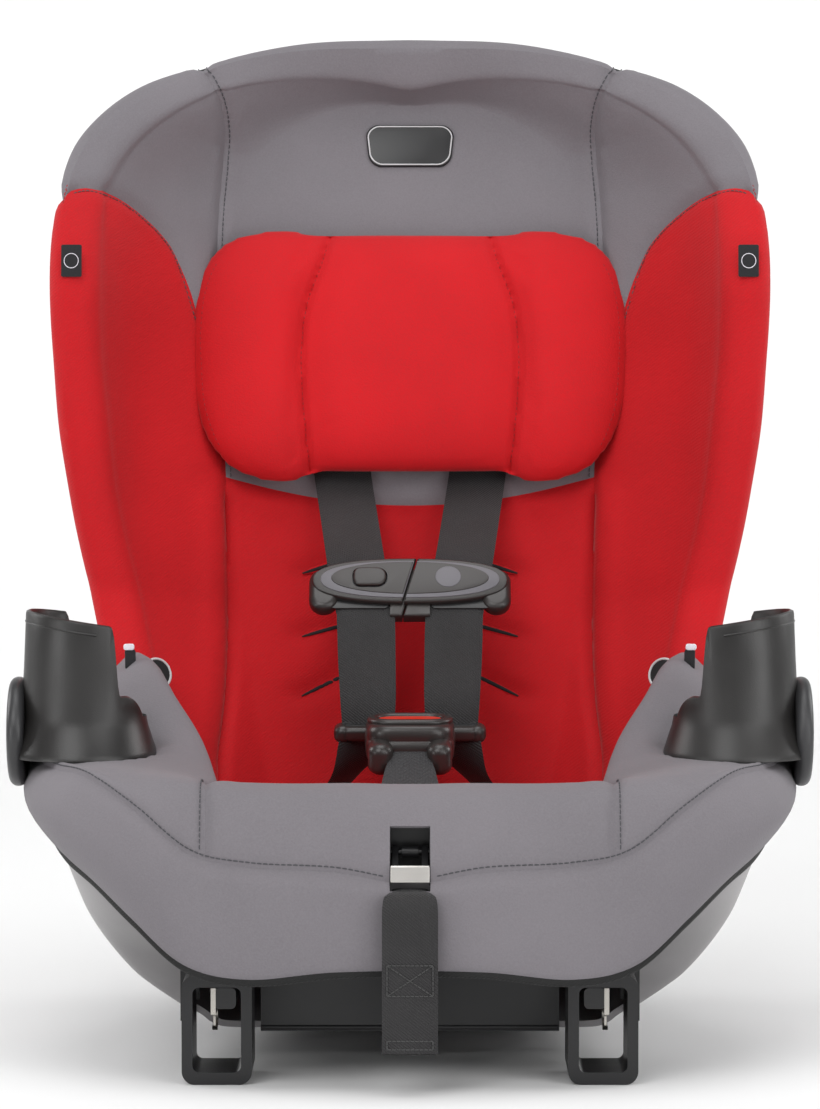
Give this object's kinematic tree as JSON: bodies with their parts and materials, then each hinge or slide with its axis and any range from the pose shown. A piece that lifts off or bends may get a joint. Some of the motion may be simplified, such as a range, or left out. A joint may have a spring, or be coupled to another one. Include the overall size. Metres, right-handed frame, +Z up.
{
  "type": "convertible car seat",
  "caption": "Convertible child car seat: padded red and grey bucket on a moulded shell, with a five-point harness, lift-off cup holders, a head pillow and a fold-out recline foot.",
  "frame": {"origin": "on the floor, under the middle of the bounding box", "axes": "+X to the viewer's right when facing the seat (left parts are on -X), +Y from the front of the seat to its back, +Z up"},
  "size_m": [0.498, 0.56, 0.649],
  "materials": {
    "shell_plastic": "fine moulded texture",
    "tub_plastic": "satin grey moulding",
    "base_plastic": "satin black moulding",
    "red_fabric": "brushed knit with a fine diagonal texture",
    "pillow_fabric": "smooth brushed knit",
    "grey_fabric": "smooth brushed knit",
    "binding": "ribbed elastic binding",
    "webbing": "twill-woven webbing",
    "steel": "brushed",
    "cup_plastic": "fine spark-eroded texture",
    "clip_plastic": "satin",
    "button_red": "satin",
    "foam": "moulded bead foam",
    "badge": "satin with a thin pale ring"
  },
  "bodies": {
    "seat": {"seat_shell": "shell_plastic", "seat_tub": "tub_plastic", "base": "base_plastic", "rear_foot": "base_plastic", "seat_deck": "shell_plastic", "upper_back_pad": "grey_fabric", "lower_back_pad": "red_fabric", "wing_pad_left": "grey_fabric", "wing_pad_right": "grey_fabric", "side_pad_left": "red_fabric", "side_pad_right": "red_fabric", "seat_pad": "red_fabric", "front_cushion": "grey_fabric", "front_skirt": "grey_fabric", "skirt_binding": "binding", "armrest_pad_left": "grey_fabric", "armrest_pad_right": "grey_fabric", "wing_foam_left": "foam", "wing_foam_right": "foam", "cup_brackets": "cup_plastic", "shoulder_strap_left": "webbing", "shoulder_strap_right": "webbing", "lap_strap_left": "webbing", "lap_strap_right": "webbing", "crotch_strap": "webbing", "back_straps": "webbing", "splitter_plate": "steel", "anchor_plates": "steel", "adjuster_housing": "base_plastic", "adjuster_pin": "steel", "adjuster_spring": "steel", "adjuster_strap": "webbing", "tether_strap": "webbing", "tether_hook": "steel", "back_badge": "badge", "side_tags": "badge", "pocket_badges": "badge", "shell_screws": "steel", "chest_clip_left": "clip_plastic", "clip_spring": "steel", "buckle_body": "clip_plastic", "buckle_spring": "steel"},
    "recline_foot": {"recline_foot": "base_plastic", "foot_rod": "steel", "latch_connectors": "base_plastic", "latch_hooks": "steel"},
    "latch_gate_left": {"latch_gate_left": "steel"},
    "latch_gate_right": {"latch_gate_right": "steel"},
    "cup_holder_left": {"cup_holder_left": "cup_plastic"},
    "cup_holder_right": {"cup_holder_right": "cup_plastic"},
    "head_pillow": {"head_pillow": "pillow_fabric"},
    "chest_clip_right": {"chest_clip_right": "clip_plastic", "clip_strap_right": "webbing"},
    "clip_button": {"clip_button": "clip_plastic"},
    "buckle_button": {"buckle_button": "button_red"},
    "tongue_left": {"tongue_left": "clip_plastic"},
    "tongue_right": {"tongue_right": "clip_plastic"},
    "adjuster_lever": {"adjuster_lever": "steel"},
    "tether_gate": {"tether_gate": "steel"}
  },
  "joints": [
    {"name": "recline_foot_fold", "type": "hinge", "parent": "seat", "child": "recline_foot", "pos_m": [0, -0.168, 0.068], "axis": [1, 0, 0], "range_deg": [0, 90]},
    {"name": "latch_gate_left_open", "type": "hinge", "parent": "recline_foot", "child": "latch_gate_left", "pos_m": [-0.1176, -0.2119, 0.0384], "axis": [1, 0, 0], "range_deg": [0, 25], "stiffness_Nm_per_rad": 0.02},
    {"name": "latch_gate_right_open", "type": "hinge", "parent": "recline_foot", "child": "latch_gate_right", "pos_m": [0.1176, -0.2119, 0.0384], "axis": [1, 0, 0], "range_deg": [0, 25], "stiffness_Nm_per_rad": 0.02},
    {"name": "cup_holder_left_lift", "type": "slide", "parent": "seat", "child": "cup_holder_left", "axis": [0, 0, 1], "range_m": [0, 0.06]},
    {"name": "cup_holder_right_lift", "type": "slide", "parent": "seat", "child": "cup_holder_right", "axis": [0, 0, 1], "range_m": [0, 0.06]},
    {"name": "head_pillow_height", "type": "slide", "parent": "seat", "child": "head_pillow", "axis": [0, 0.3134, 0.9496], "range_m": [0, 0.04]},
    {"name": "chest_clip_open", "type": "slide", "parent": "seat", "child": "chest_clip_right", "axis": [1, 0, 0], "range_m": [0, 0.03]},
    {"name": "clip_button_press", "type": "slide", "parent": "seat", "child": "clip_button", "axis": [0, 0.766, -0.6428], "range_m": [0, 0.002], "stiffness_N_per_m": 800, "deforming": ["clip_spring"]},
    {"name": "buckle_button_press", "type": "slide", "parent": "seat", "child": "buckle_button", "axis": [0, 0.225, -0.9744], "range_m": [0, 0.003], "stiffness_N_per_m": 2000, "deforming": ["buckle_spring"]},
    {"name": "tongue_left_release", "type": "slide", "parent": "seat", "child": "tongue_left", "axis": [0, 0.9744, 0.225], "range_m": [0, 0.03]},
    {"name": "tongue_right_release", "type": "slide", "parent": "seat", "child": "tongue_right", "axis": [0, 0.9744, 0.225], "range_m": [0, 0.03]},
    {"name": "adjuster_lever_press", "type": "hinge", "parent": "seat", "child": "adjuster_lever", "pos_m": [0, -0.241, 0.141], "axis": [1, 0, 0], "range_deg": [0, 12], "stiffness_Nm_per_rad": 0.3},
    {"name": "tether_gate_open", "type": "hinge", "parent": "seat", "child": "tether_gate", "pos_m": [0.0696, 0.20957, 0.40938], "axis": [0, 0.9531, -0.3026], "range_deg": [0, 25], "stiffness_Nm_per_rad": 0.02}
  ]
}
